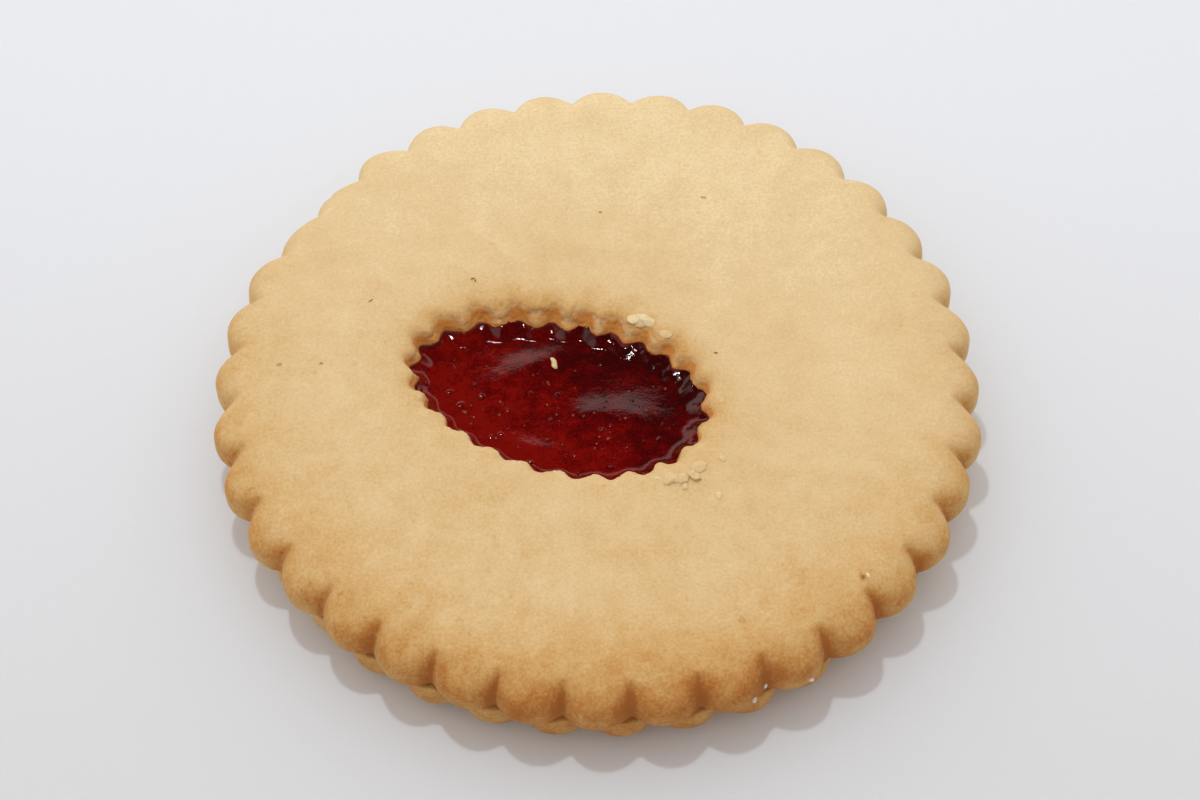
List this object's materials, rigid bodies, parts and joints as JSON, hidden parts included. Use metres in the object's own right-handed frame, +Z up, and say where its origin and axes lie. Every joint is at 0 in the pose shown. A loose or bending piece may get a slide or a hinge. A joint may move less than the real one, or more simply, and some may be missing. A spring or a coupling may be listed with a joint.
{
  "type": "strawberry shortbread cookie",
  "caption": "Fluted shortbread sandwich cookie with strawberry jam showing through an off-centre crinkled oval window.",
  "frame": {"origin": "on the table, under the middle of the upper biscuit", "axes": "+Z up; the viewer is on the -Y side, +X to their right"},
  "size_m": [0.0878, 0.088, 0.0109],
  "materials": {
    "baked_dough": "pale golden baked shortbread, matt and finely grained, browner at the rim and in the window",
    "strawberry_jam": "deep red set jam, wet and glossy"
  },
  "bodies": {
    "root": {"lower_biscuit": "baked_dough", "jam_filling": "strawberry_jam", "upper_biscuit": "baked_dough"}
  },
  "joints": []
}
